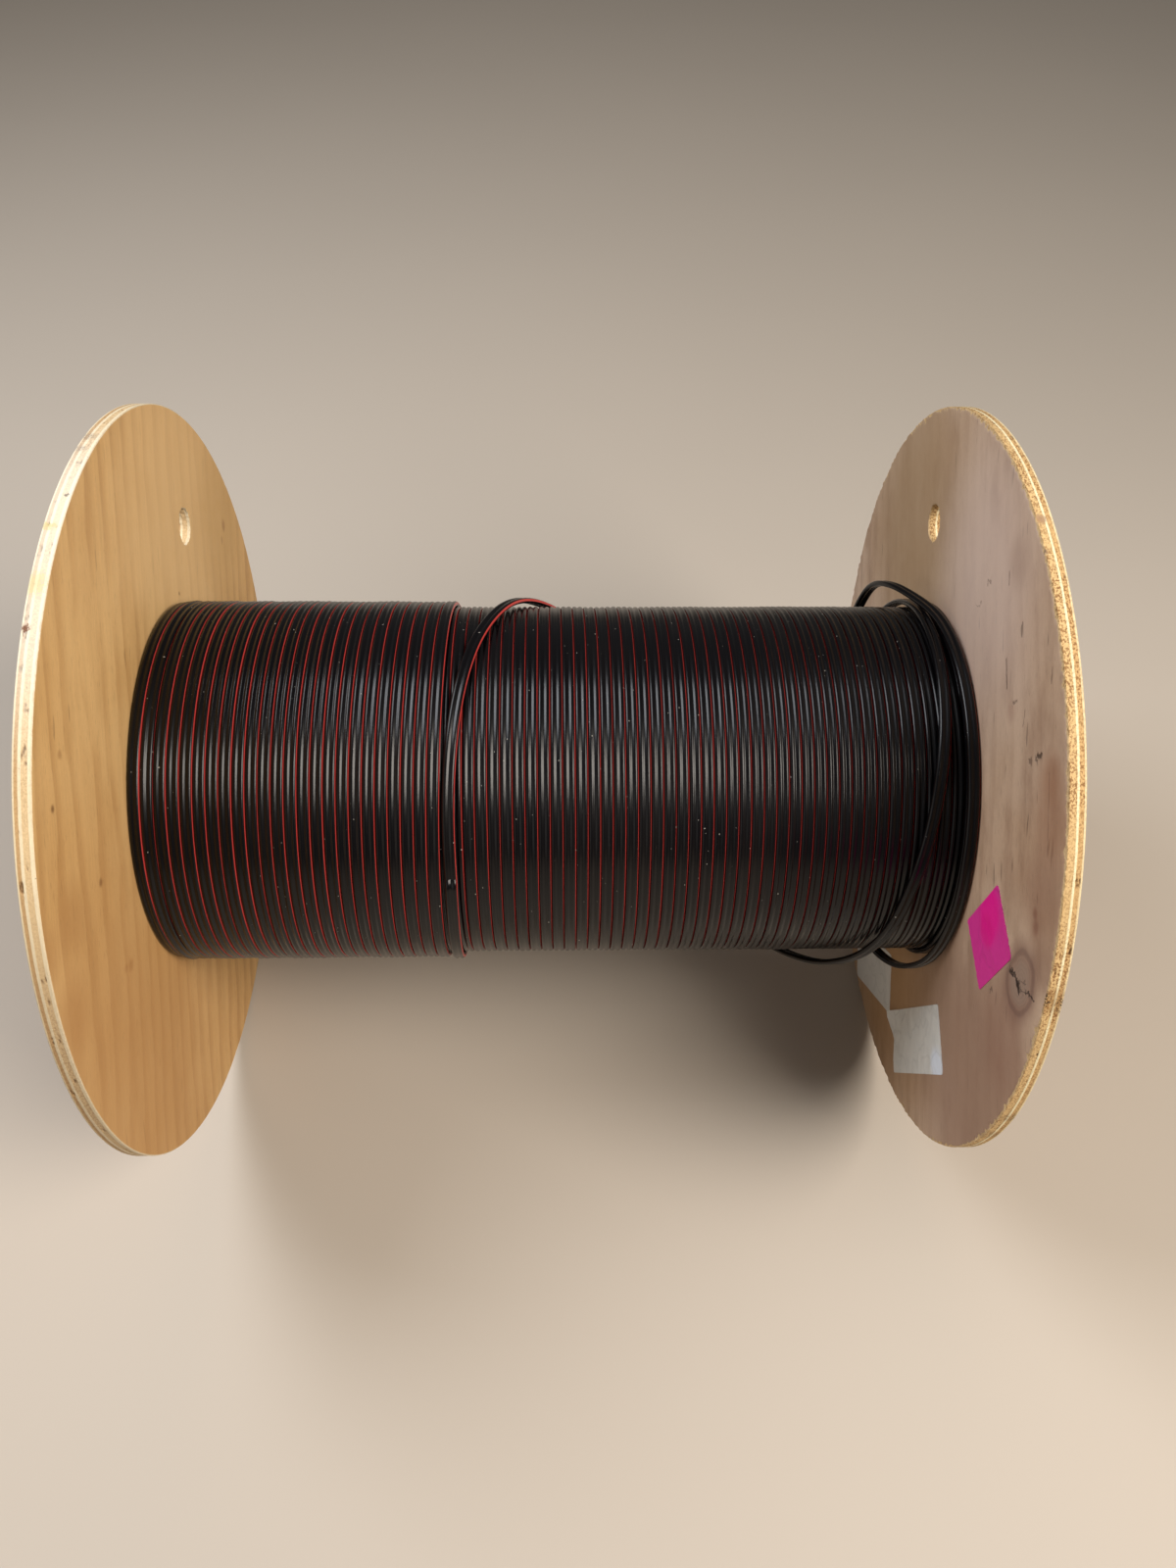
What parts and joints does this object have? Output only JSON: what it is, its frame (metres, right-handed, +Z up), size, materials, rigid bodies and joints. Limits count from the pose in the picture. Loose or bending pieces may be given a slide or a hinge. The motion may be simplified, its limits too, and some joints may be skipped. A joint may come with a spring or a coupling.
{
  "type": "wooden cable drum",
  "caption": "Plywood cable drum lying on its two round flanges, with flat twin black cable wound on its barrel and a loose cable end.",
  "frame": {"origin": "on the floor, straight below the middle of the drum as it lies on its rims", "axes": "+X along the drum's line from the left flange to the right flange, +Y away from the front, +Z up"},
  "size_m": [0.4472, 0.4, 0.3999],
  "materials": {
    "plywood_left": "raw plywood, honey coloured",
    "plywood_right": "raw plywood, greyish pink",
    "tube": "wound board tube",
    "cable": "semi-gloss sheath with a red stripe",
    "steel": "zinc plated",
    "pink_paper": "matt self-adhesive paper",
    "white_paper": "coated self-adhesive paper"
  },
  "bodies": {
    "root": {"flange_left": "plywood_left", "flange_right": "plywood_right", "barrel": "tube", "winding": "cable", "tie_rods": "steel", "washers": "steel", "nuts": "steel", "loose_end": "cable", "label_pink": "pink_paper", "label_front": "white_paper", "label_rear": "white_paper"}
  },
  "joints": []
}
